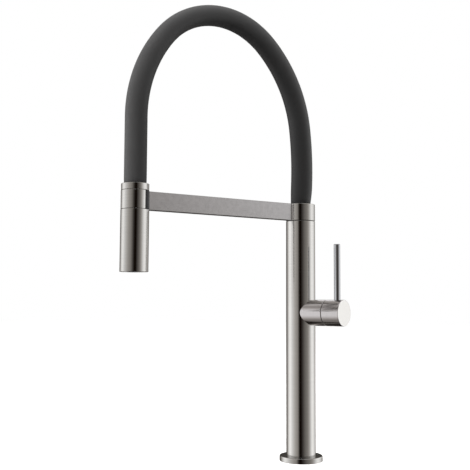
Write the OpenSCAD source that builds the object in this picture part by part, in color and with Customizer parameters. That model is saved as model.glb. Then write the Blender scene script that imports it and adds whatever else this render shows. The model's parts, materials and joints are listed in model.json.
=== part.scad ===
// Pull down kitchen faucet with a side lever, a flat support arm and a flexible arched hose.
// Origin: centre of the base where it stands on the deck. +Z is up, the lever is on +X.

/* [Column] */
// Outer diameter of the column
column_d = 35; // [34:0.5:36]
// Wall thickness of the column tube
column_wall = 2; // [1.8:0.1:2.2]
// Height of the column's top edge above the deck
column_h = 283.6; // [275:0.1:300]
// Diameter of the base flange
flange_d = 51; // [48:0.5:60]
// Thickness of the base flange
flange_h = 6.2; // [5:0.1:8]

/* [Lever] */
// Height of the lever's axis above the deck
lever_z = 174; // [170:1:180]
// Diameter of the lever housing and its cap
lever_d = 30.8; // [30.2:0.1:31.4]
// Distance from the column's axis to the seam behind the cap
seam_x = 36.5; // [36.5:0.1:38]
// Distance from the column's axis to the cap's end face
cap_x = 59.6; // [59:0.1:62]
// Diameter of the lever rod
rod_d = 7.5; // [6:0.1:8]
// Height of the lever rod's tip above the deck
rod_top = 254.5; // [230:0.5:270]

/* [Arm and dock] */
// Distance from the column's axis to the spray head's axis
reach = 220; // [200:1:240]
// Height of the support arm, the swivel collar and the docking band
arm_h = 20; // [20:0.5:22]
// Thickness of the support arm
arm_t = 10; // [9:0.5:12]
// Turn of the arm away from the front, as drawn
rest_swivel = -21; // [-60:1:60]
// Half angle of the dock pad about the head's axis
pad_half = 66; // [55:1:70]

/* [Spray head] */
// Diameter of the spray head's shell
head_d = 30.6; // [30:0.1:31.2]
// Height of the spray head's lower edge above the deck
head_bottom = 217.6; // [212:0.1:222]
// Height of the collar above the docking band
neck_cap_h = 7; // [6:0.5:9]

/* [Hose] */
// Outer diameter of the hose
hose_d = 25.2; // [24.6:0.1:25.6]
// Height of the hose's centre line at the crown of the arch
arch_top = 516; // [500:1:530]
// Radius of the hose's shoulders beside the crown
shoulder_r = 154; // [140:1:160]
// Angle of each shoulder
shoulder_a = 42; // [38:1:46]

/* [Hidden] */
$fn = 96;
EPS = 0.01;
// running gap between a turning face and a fixed one
GAP = 0.8;
// radial clearance of a shaft in its own bore
RUN = 0.05;
// radial clearance of a part set in a fixed seat
SEAT = 0.03;

STEEL = "silver";
BRASS = "goldenrod";
RUBBER = "dimgray";
PLASTIC = "darkslategray";

column_r = column_d / 2;
bore_r = column_r - column_wall;
lever_r = lever_d / 2;
head_r = head_d / 2;
hose_r = hose_d / 2;
rod_r = rod_d / 2;

// base
shank_r = 13.2;
shank_len = 22;
gasket_h = 1.6;
gasket_in = 19;
gasket_out = 23;
flange_edge = 0.8;

// valve body and cartridge, along X at the lever's height
valve_low = lever_z - 28;
valve_high = lever_z + 30;
cart_r = 12.3;
cart_x0 = -8;
cart_x1 = 26;
inlet_r = 4.5;
inlet_len = 12;
inlet_y = 6.4;
inlet_x = -1;
port_r = 2.2;
outlet_r = 4;
outlet_tube_r = 5;
disc_x = -3;
disc_r = 9;
disc_t = 3;
stem_r = 4;
stem_x1 = 52;
stem_flat = 2.8;
housing_in = 12.4;
housing_neck = 14;
neck_x = 9.2;
nut_len = 6;
cap_wall = 2.2;
cap_floor_x = 42;

// swivel
plug_low = column_h - 28;
spigot_r = 8;
spigot_top = column_h + 13.4;
web_z = spigot_top + 1.4;
clip_z = column_h + 10.8;
clip_r = 9.8;
washer_h = GAP;
collar_z = column_h + washer_h;
collar_top = collar_z + arm_h;
collar_in = 13.2;
socket_r = 13.1;
lip_z = collar_top - 4;

// hose layers
sleeve_in = 11.6;
spring_out = 11.4;
spring_in = 10.2;
inner_out = 5;
inner_in = 3.6;

// dock and neck
neck_z = collar_z;
neck_top = neck_z + arm_h;
neck_gap = 0.4;
band_r = head_r - 0.1;
neck_cap_r = head_r - 0.3;
pad_in = 12.2;
core_r = 11.9;
neck_cap_z = neck_top + neck_gap;
neck_cap_top = neck_cap_z + neck_cap_h;
ferrule_low = neck_cap_z - 9;

// spray head
shell_top = neck_z - neck_gap;
shell_wall = 1.6;
shell_in = head_r - shell_wall;
shoulder_z = shell_top - 10;
core_low = shell_top - 26;
tail_in = 6.6;
tail_r = 9.4;
tail_groove = 1.4;
ledge_low = shell_top - 18;
ledge_high = shell_top - 11;
chamber_r = 11;
joint_low = core_low - 8;
valve_r = 4;

// arcs of the hose are drawn in this many steps to a shoulder
bends = 7;
// hose route: a straight leg, a shoulder, the crown, a shoulder and a straight leg
crown_r = shoulder_r - (shoulder_r - reach / 2) / cos(shoulder_a);
arch_z = arch_top - crown_r - (shoulder_r - crown_r) * sin(shoulder_a);
crown_z = arch_z + (shoulder_r - crown_r) * sin(shoulder_a);

// ---- shared shapes ----

// ring about Z from z0 to z1
module ring_z(ro, ri, z0, z1) {
    translate([0, 0, z0])
        difference() {
            cylinder(r = ro, h = z1 - z0);
            translate([0, 0, -1])
                cylinder(r = ri, h = z1 - z0 + 2);
        }
}

// solid cylinder about Z from z0 to z1
module rod_z(r, z0, z1) {
    translate([0, 0, z0])
        cylinder(r = r, h = z1 - z0);
}

// places its children with their Z along +X at the lever's axis
module on_lever() {
    translate([0, 0, lever_z])
        rotate([0, 90, 0])
            children();
}

// O-ring of centre radius rc and wire radius rw
module o_ring(rc, rw, z) {
    translate([0, 0, z])
        rotate_extrude()
            translate([rc, 0])
                circle(r = rw, $fn = 32);
}

// places its children in the swivelling group, where the arm runs along -Y
module swivelled() {
    rotate([0, 0, rest_swivel])
        children();
}

// places its children about the spray head's axis
module at_head() {
    swivelled()
        translate([0, -reach, 0])
            children();
}

// station on an arc of the route, as [y, z, angle from +Y towards +Z]
function station(cy, cz, r, a) = [cy + r * cos(a), cz + r * sin(a), a];

// stations of the hose's route, from z0 above the column to z1 above the head
function route(z0, z1) = concat(
    [[0, z0, 0]],
    [for (i = [0:bends]) station(-shoulder_r, arch_z, shoulder_r, shoulder_a * i / bends)],
    [for (i = [1:2 * bends]) station(-reach / 2, crown_z, crown_r,
                                     shoulder_a + (90 - shoulder_a) * i / bends)],
    [for (i = [1:bends]) station(shoulder_r - reach, arch_z, shoulder_r,
                                 180 - shoulder_a + shoulder_a * i / bends)],
    [[-reach, z1, 180]]
);

// points of one ring of radius r about a station
function ring_points(s, r, n) = [
    for (k = [0:n - 1])
        let (t = 360 * k / n)
            [r * sin(t), s[0] + r * cos(t) * cos(s[2]), s[1] + r * cos(t) * sin(s[2])]
];

// pipe along the hose's route with n flat sides
module hose_pipe(ro, ri, z0, z1, n) {
    path = route(z0, z1);
    m = len(path);
    outer = [for (s = path) each ring_points(s, ro, n)];
    inner = [for (s = path) each ring_points(s, ri, n)];
    skin = [for (i = [0:m - 2], k = [0:n - 1])
        [i * n + k, i * n + (k + 1) % n, (i + 1) * n + (k + 1) % n, (i + 1) * n + k]];
    lining = [for (f = skin) [f[3] + m * n, f[2] + m * n, f[1] + m * n, f[0] + m * n]];
    low_end = [for (k = [0:n - 1]) [k, k + m * n, (k + 1) % n + m * n, (k + 1) % n]];
    high = (m - 1) * n;
    high_end = [for (f = low_end) [f[3] + high, f[2] + high, f[1] + high, f[0] + high]];
    polyhedron(points = concat(outer, inner), faces = concat(skin, lining, low_end, high_end));
}

// pie slice about Z, of half angle half around +Y
module slice(half, r, z0, z1) {
    x = r * tan(half / 2);
    translate([0, 0, z0])
        linear_extrude(z1 - z0)
            polygon([[0, 0], [r * sin(half), r * cos(half)], [x, r], [-x, r],
                     [-r * sin(half), r * cos(half)]]);
}

// ---- base and column ----

module base_flange() {
    color(STEEL)
        rotate_extrude()
            polygon([
                [column_r + RUN, 0], [gasket_in, 0], [gasket_in, gasket_h], [gasket_out, gasket_h],
                [gasket_out, 0], [flange_d / 2, 0], [flange_d / 2, flange_h - flange_edge],
                [flange_d / 2 - flange_edge, flange_h], [column_r + RUN, flange_h]
            ]);
}

module base_gasket() {
    color(RUBBER)
        ring_z(gasket_out - SEAT, gasket_in + SEAT, 0, gasket_h);
}

module shank_bush() {
    color(BRASS)
        ring_z(bore_r - SEAT, shank_r, 0, shank_len);
}

module column_tube() {
    color(STEEL)
        difference() {
            ring_z(column_r, bore_r, 0, column_h);
            on_lever()
                cylinder(r = housing_neck + 0.1, h = column_r + 2);
        }
}

// ---- valve ----

module valve_body() {
    color(BRASS)
        difference() {
            rod_z(bore_r - 0.2, valve_low, valve_high);
            on_lever()
                translate([0, 0, cart_x0])
                    cylinder(r = cart_r + SEAT, h = 40);
            for (side = [-1, 1])
                translate([inlet_x, side * inlet_y, valve_low - 1]) {
                    cylinder(r = inlet_r, h = inlet_len + 1);
                    cylinder(r = port_r, h = lever_z - valve_low - 6);
                }
            rod_z(outlet_r, lever_z + 8, valve_high + 1);
            rod_z(outlet_tube_r + SEAT, valve_high - 12, valve_high + 1);
            on_lever()
                translate([0, 0, neck_x - 0.2])
                    cylinder(r = housing_neck + SEAT, h = 20);
        }
}

module outlet_tube() {
    color("peru")
        ring_z(outlet_tube_r, outlet_r - 0.2, valve_high - 11.5, plug_low + 9.5);
}

module outlet_seals() {
    color(RUBBER)
        for (z = [valve_high + 1.2, plug_low - 1.2])
            o_ring(outlet_tube_r + 1.05, 1, z);
}

// outer sleeve on the column with a threaded neck that reaches into the valve body
module lever_housing() {
    color(STEEL)
        difference() {
            union() {
                difference() {
                    on_lever()
                        cylinder(r = lever_r, h = seam_x);
                    rod_z(column_r + EPS, lever_z - 30, lever_z + 30);
                }
                on_lever()
                    translate([0, 0, neck_x])
                        cylinder(r = housing_neck, h = seam_x - neck_x - 2);
            }
            on_lever()
                cylinder(r = housing_in, h = seam_x + 1);
        }
}

module cartridge_base() {
    color("gainsboro")
        on_lever()
            translate([0, 0, cart_x0])
                difference() {
                    cylinder(r = cart_r, h = disc_x - cart_x0);
                    for (side = [-1, 1])
                        translate([4, side * 4.5, -1])
                            cylinder(r = 2, h = 10);
                    translate([-5, 0, -1])
                        cylinder(r = 2.6, h = 10);
                    difference() {
                        translate([0, 0, 1.6])
                            cylinder(r = cart_r + 1, h = 2);
                        translate([0, 0, 1])
                            cylinder(r = cart_r - 1.4, h = 3);
                    }
                }
}

module cartridge_seals() {
    color(RUBBER)
        on_lever()
            o_ring(cart_r - 0.68, 0.7, cart_x0 + 2.6);
}

module ceramic_disc_fixed() {
    color("white")
        on_lever()
            difference() {
                translate([0, 0, disc_x])
                    cylinder(r = disc_r, h = disc_t);
                for (side = [-1, 1])
                    translate([4, side * 4.5, disc_x - 1])
                        cylinder(r = 1.8, h = disc_t + 2);
                translate([-5, 0, disc_x - 1])
                    cylinder(r = 2.4, h = disc_t + 2);
            }
}

module ceramic_disc_moving() {
    color("white")
        on_lever()
            difference() {
                translate([0, 0, disc_x + disc_t + SEAT])
                    cylinder(r = disc_r - 0.3, h = 2.5);
                translate([-3.2, 0, disc_x + disc_t - 1])
                    cylinder(r = 4, h = 2.6);
            }
}

module cartridge_shell() {
    color("gainsboro")
        on_lever()
            translate([0, 0, disc_x])
                difference() {
                    cylinder(r = cart_r, h = cart_x1 - disc_x);
                    translate([0, 0, -1])
                        cylinder(r = disc_r + SEAT, h = cart_x1 - disc_x - 3);
                    cylinder(r = stem_r + RUN, h = 60);
                }
}

module cartridge_stem() {
    color(BRASS)
        on_lever()
            difference() {
                union() {
                    translate([0, 0, disc_x + disc_t + 2.5 + 2 * SEAT])
                        cylinder(r = disc_r - 0.3, h = 4);
                    translate([0, 0, 5])
                        cylinder(r = stem_r, h = stem_x1 - 5);
                }
                translate([stem_r + stem_flat, 0, 49])
                    cube([2 * stem_r, 3 * stem_r, 12], center = true);
            }
}

module cartridge_nut() {
    color(BRASS)
        on_lever()
            difference() {
                translate([0, 0, cart_x1 + SEAT])
                    cylinder(r = housing_in - SEAT, h = nut_len);
                translate([0, 0, cart_x1 - 1])
                    cylinder(r = 8, h = nut_len + 3, $fn = 6);
            }
}

// ---- lever ----

module lever_cap() {
    color(STEEL)
        difference() {
            on_lever()
                rotate_extrude()
                    polygon([
                        [0, cap_floor_x], [lever_r - cap_wall, cap_floor_x],
                        [lever_r - cap_wall, seam_x + GAP], [lever_r, seam_x + GAP],
                        [lever_r, cap_x - 0.4], [lever_r - 0.4, cap_x], [0, cap_x]
                    ]);
            on_lever()
                translate([0, 0, cap_floor_x - 1])
                    cylinder(r = stem_r + SEAT, h = stem_x1 - cap_floor_x + 1.5);
            translate([cap_x - 9.3, 0, 0])
                rod_z(rod_r + SEAT, lever_z + 7, lever_z + lever_r + 1);
            translate([cap_x - 13, 0, 0])
                rod_z(2.03, lever_z - lever_r - 1, lever_z - 3);
        }
}

module lever_rod() {
    color(STEEL)
        translate([cap_x - 9.3, 0, 0])
            rotate_extrude()
                polygon([[0, lever_z + 7.2], [rod_r, lever_z + 7.2], [rod_r, rod_top - 0.6],
                         [rod_r - 0.6, rod_top], [0, rod_top]]);
}

module lever_set_screw() {
    color("dimgray")
        translate([cap_x - 13, 0, lever_z - lever_r + 1.5])
            difference() {
                cylinder(r = 2, h = lever_r - stem_flat - 1.6);
                translate([0, 0, -EPS])
                    cylinder(r = 1.15, h = 3, $fn = 6);
            }
}

// ---- swivel ----

module swivel_spigot() {
    color(BRASS)
        difference() {
            rotate_extrude()
                polygon([
                    [outlet_r, plug_low + 10], [outlet_tube_r + SEAT, plug_low + 10],
                    [outlet_tube_r + SEAT, plug_low], [bore_r - SEAT, plug_low],
                    [bore_r - SEAT, column_h], [spigot_r, column_h], [spigot_r, column_h + 3],
                    [spigot_r - 1.4, column_h + 3], [spigot_r - 1.4, column_h + 5],
                    [spigot_r, column_h + 5], [spigot_r, column_h + 7],
                    [spigot_r - 1.4, column_h + 7], [spigot_r - 1.4, column_h + 9],
                    [spigot_r, column_h + 9], [spigot_r, column_h + 11.4],
                    [spigot_r - 1.4, column_h + 11.4], [spigot_r - 1.4, column_h + 12.6],
                    [spigot_r, column_h + 12.6], [spigot_r, spigot_top], [outlet_r, spigot_top]
                ]);
        }
}

module spigot_seals() {
    color(RUBBER)
        for (z = [4, 8])
            o_ring(spigot_r - 0.7, 0.68, column_h + z);
}

module swivel_clip() {
    color(STEEL)
        difference() {
            ring_z(spigot_r + 1.2, spigot_r - 1.3, column_h + 11.5, column_h + 12.5);
            translate([0, -10, column_h + 12])
                cube([5, 12, 4], center = true);
        }
}

module slide_washer() {
    color(PLASTIC)
        ring_z(column_r - 0.7, spigot_r + 0.2, column_h, column_h + washer_h - RUN);
}

module swivel_collar() {
    color(STEEL)
        swivelled()
            difference() {
                rotate_extrude()
                    polygon([
                        [collar_in, collar_z], [column_r, collar_z],
                        [column_r, collar_top - 0.5], [column_r - 0.5, collar_top],
                        [spring_out + 0.1, collar_top], [spring_out + 0.1, lip_z],
                        [collar_in, lip_z]
                    ]);
                translate([0, column_r + 1, collar_z + 6])
                    rotate([90, 0, 0])
                        cylinder(r = 2.03, h = 8);
                for (z = [5.5, 13])
                    translate([0, -collar_in + 1, collar_z + z])
                        rotate([90, 0, 0])
                            cylinder(r = 1.8, h = 10);
            }
}

// rotating brass socket that joins the hose to the fixed spigot
module hose_socket() {
    color(BRASS)
        swivelled()
            difference() {
                rotate_extrude()
                    polygon([
                        [spigot_r + RUN, collar_z], [socket_r, collar_z], [socket_r, lip_z],
                        [inner_out + SEAT, lip_z], [inner_out + SEAT, web_z], [clip_r, web_z],
                        [clip_r, clip_z], [spigot_r + RUN, clip_z]
                    ]);
                translate([0, column_r + 1, collar_z + 6])
                    rotate([90, 0, 0])
                        cylinder(r = 2.03, h = 8);
                for (z = [5.5, 13])
                    translate([0, -collar_in + 1.8, collar_z + z])
                        rotate([90, 0, 0])
                            cylinder(r = 3.4, h = 6);
            }
}

module socket_seal() {
    color(RUBBER)
        swivelled()
            ring_z(clip_r - 0.1, inner_in, spigot_top + 0.1, web_z - 0.02);
}

module collar_set_screw() {
    color("dimgray")
        swivelled()
            translate([0, column_r - 0.5, collar_z + 6])
                rotate([90, 0, 0])
                    difference() {
                        cylinder(r = 2, h = 6);
                        translate([0, 0, -EPS])
                            cylinder(r = 1.15, h = 3, $fn = 6);
                    }
}

// ---- arm and dock ----

module support_arm() {
    color(STEEL)
        swivelled()
            difference() {
                translate([-arm_t / 2, -reach + 8, collar_z])
                    cube([arm_t, reach - 20, arm_h]);
                rod_z(column_r + RUN, collar_z - 1, collar_top + 1);
                translate([0, -reach, 0])
                    rod_z(head_r, collar_z - 1, collar_top + 1);
                for (z = [5.5, 13])
                    translate([0, -column_r + 2, collar_z + z])
                        rotate([90, 0, 0])
                            cylinder(r = 1.53, h = 14);
                for (z = [4.3, 15.7])
                    translate([0, -reach + head_r + 1.5, collar_z + z])
                        rotate([90, 0, 0])
                            cylinder(r = 3.03, h = 4, center = true);
                translate([0, -reach + head_r - 2, collar_z + 10])
                    rotate([-90, 0, 0])
                        cylinder(r = 1.53, h = 12);
            }
}

module arm_screws() {
    color("dimgray")
        swivelled()
            for (z = [5.5, 13])
                translate([0, -collar_in + 0.4, collar_z + z])
                    rotate([90, 0, 0])
                        difference() {
                            union() {
                                cylinder(r = 1.5, h = 15);
                                translate([0, 0, -1.2])
                                    cylinder(r = 2.8, h = 1.2);
                            }
                            translate([0, 0, -1.2 - EPS])
                                cylinder(r = 1.15, h = 1.2, $fn = 6);
                        }
}

module dock_pad() {
    color(PLASTIC)
        at_head()
            difference() {
                intersection() {
                    ring_z(head_r - SEAT, pad_in, neck_z, neck_top);
                    slice(pad_half, 40, neck_z - 1, neck_top + 1);
                }
                translate([0, head_r - 4, neck_z + 10])
                    rotate([-90, 0, 0]) {
                        cylinder(r = 1.53, h = 6);
                        cylinder(r = 2.9, h = 2.2);
                    }
            }
}

module dock_magnets() {
    color("gray")
        at_head()
            for (z = [4.3, 15.7])
                translate([0, head_r + 0.2, neck_z + z])
                    rotate([-90, 0, 0])
                        cylinder(r = 3, h = 3);
}

module dock_screw() {
    color("dimgray")
        at_head()
            translate([0, pad_in + 0.25, neck_z + 10])
                rotate([-90, 0, 0])
                    difference() {
                        union() {
                            cylinder(r = 1.5, h = 10);
                            cylinder(r = 2.7, h = 0.9);
                        }
                        translate([0, 0, -EPS])
                            cylinder(r = 0.9, h = 0.7, $fn = 6);
                    }
}

// ---- hose ----

module hose_sleeve() {
    color([0.08, 0.08, 0.08])
        swivelled()
            hose_pipe(hose_r, sleeve_in, collar_top, neck_cap_top, 32);
}

module support_spring() {
    color("gray")
        swivelled()
            hose_pipe(spring_out, spring_in, lip_z + 0.1, neck_cap_top - 4, 16);
}

module inner_hose() {
    color("white")
        swivelled()
            hose_pipe(inner_out, inner_in, web_z + 0.05, ferrule_low + 2.05, 12);
}

// ---- neck of the spray head, which docks on the pad ----

module neck_cap() {
    color(STEEL)
        at_head()
            rotate_extrude()
                polygon([
                    [core_r + SEAT, neck_cap_z], [neck_cap_r, neck_cap_z],
                    [neck_cap_r, neck_cap_top - 0.5], [neck_cap_r - 0.5, neck_cap_top],
                    [spring_out + 0.1, neck_cap_top], [spring_out + 0.1, neck_cap_top - 1],
                    [core_r + SEAT, neck_cap_top - 1]
                ]);
}

module dock_band() {
    color(STEEL)
        at_head()
            difference() {
                ring_z(band_r, core_r + SEAT, neck_z, neck_top);
                slice(pad_half + 2, 40, neck_z - 1, neck_top + 1);
            }
}

module neck_core() {
    color("gray")
        at_head()
            rotate_extrude()
                polygon([
                    [tail_in, core_low], [tail_r, core_low], [tail_r, ledge_low - 1.4],
                    [tail_r - tail_groove, ledge_low - 1.4], [tail_r - tail_groove, ledge_low - 0.2],
                    [tail_r, ledge_low - 0.2], [tail_r, ledge_low + 2],
                    [tail_r - tail_groove, ledge_low + 2], [tail_r - tail_groove, ledge_low + 4],
                    [tail_r, ledge_low + 4], [tail_r, shoulder_z], [core_r - 1.2, shoulder_z],
                    [core_r - 1.2, shell_top + 0.2], [core_r, shell_top + 0.2],
                    [core_r, neck_cap_top - 1.1], [spring_out + 0.1, neck_cap_top - 1.1],
                    [spring_out + 0.1, neck_cap_top - 4.2], [tail_in, neck_cap_top - 4.2]
                ]);
}

module hose_ferrule() {
    color(BRASS)
        at_head()
            rotate_extrude()
                polygon([
                    [inner_in - 1, ferrule_low - 12], [tail_in - SEAT, ferrule_low - 12],
                    [tail_in - SEAT, ferrule_low + 8], [inner_out + SEAT, ferrule_low + 8],
                    [inner_out + SEAT, ferrule_low + 2], [inner_in - 1, ferrule_low + 2]
                ]);
}

// ---- spray head, which turns below the neck ----

module head_shell() {
    color(STEEL)
        at_head()
            rotate_extrude()
                polygon([
                    [core_r - 0.9, shell_top - 2.4], [core_r - 0.9, shell_top],
                    [head_r, shell_top], [head_r, head_bottom + 0.5],
                    [head_r - 0.5, head_bottom], [shell_in, head_bottom],
                    [shell_in, shell_top - 2.4]
                ]);
}

// brass coupling inside the shell; its ledge turns on the neck's tail
module head_joint() {
    color(BRASS)
        at_head()
            rotate_extrude()
                polygon([
                    [valve_r, joint_low], [shell_in - SEAT, joint_low],
                    [shell_in - SEAT, ledge_high], [tail_r + RUN, ledge_high],
                    [tail_r + RUN, ledge_low], [chamber_r, ledge_low],
                    [chamber_r, core_low - 2], [valve_r, core_low - 2]
                ]);
}

// snap ring on the neck's tail, below the coupling's ledge
module joint_clip() {
    color(STEEL)
        at_head()
            difference() {
                ring_z(tail_r + 1.2, tail_r - tail_groove + 0.1, ledge_low - 1.3, ledge_low - 0.3);
                translate([0, -10, ledge_low - 1])
                    cube([5, 12, 4], center = true);
            }
}

module joint_seals() {
    color(RUBBER)
        at_head()
            o_ring(tail_r - 0.7, 0.68, ledge_low + 3);
}

module check_valve() {
    color("royalblue")
        at_head()
            difference() {
                rod_z(valve_r - SEAT, joint_low + 0.2, core_low - 2.2);
                rod_z(2.2, joint_low, core_low - 4);
                for (a = [0:120:240])
                    rotate([0, 0, a])
                        translate([1.6, 0, 0])
                            rod_z(0.5, joint_low, core_low);
            }
}

module water_guide() {
    color("gainsboro")
        at_head()
            rotate_extrude()
                polygon([
                    [5, head_bottom + 16.2], [shell_in - SEAT, head_bottom + 16.2],
                    [shell_in - SEAT, head_bottom + 18], [6.6, head_bottom + 20],
                    [6.6, joint_low - 0.1], [5, joint_low - 0.1]
                ]);
}

module aerator_housing() {
    color("gainsboro")
        at_head()
            rotate_extrude()
                polygon([
                    [shell_in - 2.5, head_bottom + 1.2], [shell_in - SEAT, head_bottom + 1.2],
                    [shell_in - SEAT, head_bottom + 16], [shell_in - 1.6, head_bottom + 16],
                    [shell_in - 1.6, head_bottom + 1.6], [shell_in - 2.5, head_bottom + 1.6]
                ]);
}

module flow_screen() {
    color("silver")
        at_head()
            difference() {
                rod_z(shell_in - 1.7, head_bottom + 10, head_bottom + 11.4);
                for (i = [-3:3], j = [-3:3])
                    if (i * i + j * j < 11)
                        translate([i * 3.2, j * 3.2, head_bottom + 9])
                            cylinder(r = 1, h = 4, $fn = 4);
            }
}

module spray_plate() {
    color("dimgray")
        at_head()
            difference() {
                union() {
                    rod_z(shell_in - 1.7, head_bottom + 1.65, head_bottom + 4.2);
                    for (ring = [[0, 1], [4.2, 6], [8.4, 12]], k = [0:ring[1] - 1])
                        rotate([0, 0, k * 360 / ring[1]])
                            translate([ring[0], 0, 0])
                                rod_z(0.9, head_bottom + 0.6, head_bottom + 2);
                }
                for (ring = [[0, 1], [4.2, 6], [8.4, 12]], k = [0:ring[1] - 1])
                    rotate([0, 0, k * 360 / ring[1]])
                        translate([ring[0], 0, 0])
                            rod_z(0.45, head_bottom, head_bottom + 5);
            }
}

base_flange();
base_gasket();
shank_bush();
column_tube();
valve_body();
outlet_tube();
outlet_seals();
lever_housing();
cartridge_base();
cartridge_seals();
ceramic_disc_fixed();
cartridge_shell();
cartridge_nut();
swivel_spigot();
spigot_seals();
swivel_clip();
slide_washer();
ceramic_disc_moving();
cartridge_stem();
lever_cap();
lever_rod();
lever_set_screw();
swivel_collar();
hose_socket();
socket_seal();
collar_set_screw();
support_arm();
arm_screws();
dock_pad();
dock_magnets();
dock_screw();
hose_sleeve();
support_spring();
inner_hose();
neck_cap();
dock_band();
neck_core();
hose_ferrule();
head_shell();
head_joint();
joint_clip();
joint_seals();
check_valve();
water_guide();
aerator_housing();
flow_screen();
spray_plate();
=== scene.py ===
import json
import math
import bmesh
import bpy
from mathutils import Matrix, Vector
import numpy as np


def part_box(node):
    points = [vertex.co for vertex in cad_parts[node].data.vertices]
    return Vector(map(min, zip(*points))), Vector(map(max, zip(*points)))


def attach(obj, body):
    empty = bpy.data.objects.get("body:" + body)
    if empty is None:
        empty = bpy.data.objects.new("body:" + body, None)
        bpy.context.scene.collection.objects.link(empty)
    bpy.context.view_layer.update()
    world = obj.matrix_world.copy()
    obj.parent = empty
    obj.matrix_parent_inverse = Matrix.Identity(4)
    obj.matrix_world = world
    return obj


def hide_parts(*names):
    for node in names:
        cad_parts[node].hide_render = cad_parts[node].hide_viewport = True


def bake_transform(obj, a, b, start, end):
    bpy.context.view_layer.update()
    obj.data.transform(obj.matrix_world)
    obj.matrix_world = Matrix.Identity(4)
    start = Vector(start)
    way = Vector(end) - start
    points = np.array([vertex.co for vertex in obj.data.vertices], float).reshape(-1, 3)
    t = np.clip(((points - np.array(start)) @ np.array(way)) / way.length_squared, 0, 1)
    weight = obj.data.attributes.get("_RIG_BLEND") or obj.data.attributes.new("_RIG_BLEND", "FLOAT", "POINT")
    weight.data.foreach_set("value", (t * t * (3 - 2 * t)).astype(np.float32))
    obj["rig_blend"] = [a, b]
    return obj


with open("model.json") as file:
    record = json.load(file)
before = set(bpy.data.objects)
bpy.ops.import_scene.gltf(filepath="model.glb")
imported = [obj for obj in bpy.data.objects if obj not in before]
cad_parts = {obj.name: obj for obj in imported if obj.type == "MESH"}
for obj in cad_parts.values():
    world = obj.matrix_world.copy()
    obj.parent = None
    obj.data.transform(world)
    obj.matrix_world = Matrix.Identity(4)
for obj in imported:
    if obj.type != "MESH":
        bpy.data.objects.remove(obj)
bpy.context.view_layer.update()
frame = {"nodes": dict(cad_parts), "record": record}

MM = 0.001
TURN = 2 * math.pi

# ---------------------------------------------------------------- sizes and places, in metres

TOUCH = 0.02 * MM         # gap where the end of one piece meets the side of another
FIT = 0.03 * MM           # gap of a close fit
RUN = 0.05 * MM           # gap of a running fit
SCREW_HOLE = 2.03 * MM    # radius of the holes for the set screws


def span_z(node):
    """Lowest and highest point of a CAD node."""
    lo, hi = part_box(node)
    return lo.z, hi.z


def half_x(node):
    """Half of a CAD node's width along X: the radius of a round upright one."""
    lo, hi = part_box(node)
    return (hi.x - lo.x) / 2


COL_R = half_x("column_tube")
COL_TOP = span_z("column_tube")[1]
BORE_R = half_x("shank_bush") + FIT
FLANGE_R = half_x("base_flange")
FLANGE_TOP = span_z("base_flange")[1]
GASKET_R = half_x("base_gasket")
COLLAR_Z, COLLAR_TOP = span_z("swivel_collar")
CAP_Z, CAP_TOP = span_z("neck_cap")
BAND_Z, BAND_TOP = span_z("dock_band")
SHELL_Z, SHELL_TOP = span_z("head_shell")
HEAD_R = half_x("head_shell")
NECK_R = half_x("neck_cap")
CORE_R = 11.93 * MM       # bore of the band and the neck ring, round the neck's core
PAD_IN = 12.2 * MM        # inner radius of the dock's pad
lo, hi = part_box("neck_cap")
HEAD = Vector(((lo.x + hi.x) / 2, (lo.y + hi.y) / 2, 0))
REACH = HEAD.length
SWIVEL = Matrix.Rotation(math.atan2(HEAD.y, HEAD.x) + math.pi / 2, 4, "Z")
AT_HEAD = SWIVEL @ Matrix.Translation((0, -REACH, 0))
lo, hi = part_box("lever_cap")
LEVER_R = (hi.y - lo.y) / 2
LEVER_Z = (lo.z + hi.z) / 2
SEAM_1, CAP_X = lo.x, hi.x                # the seam lies between the housing and the cap
SEAM_0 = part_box("lever_housing")[1].x
ON_LEVER = Matrix.Translation((0, 0, LEVER_Z)) @ Matrix.Rotation(math.pi / 2, 4, "Y")
lo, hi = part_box("lever_rod")
ROD_X, ROD_R, ROD_Z, ROD_TOP = (lo.x + hi.x) / 2, (hi.x - lo.x) / 2, lo.z, hi.z
lo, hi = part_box("lever_set_screw")
SCREW_X = (lo.x + hi.x) / 2

# ---------------------------------------------------------------- camera

CAMERA_AZ = math.radians(32.31)   # from the front, -Y, towards +X


def make_camera():
    """Camera at the photograph's viewing angle."""
    height, distance = 0.18528, 0.96945
    yaw, pitch, roll = math.radians(4.70), math.radians(4.85), math.radians(0.27)
    eye = Vector((distance * math.sin(CAMERA_AZ), -distance * math.cos(CAMERA_AZ), height))
    heading = CAMERA_AZ + yaw
    forward = Vector((-math.sin(heading) * math.cos(pitch), math.cos(heading) * math.cos(pitch),
                      math.sin(pitch)))
    right = Vector((math.cos(heading), math.sin(heading), 0))
    up = right.cross(forward)
    right, up = (math.cos(roll) * right + math.sin(roll) * up,
                 -math.sin(roll) * right + math.cos(roll) * up)
    data = bpy.data.cameras.new("camera")
    data.sensor_width = 36
    data.lens = 61.28
    cam = bpy.data.objects.new("camera", data)
    bpy.context.scene.collection.objects.link(cam)
    m = Matrix((right, up, -forward)).transposed().to_4x4()
    m.translation = eye
    cam.matrix_world = m
    bpy.context.scene.camera = cam


make_camera()
bpy.context.scene.view_settings.view_transform = "Standard"

# ---------------------------------------------------------------- node helpers


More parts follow.
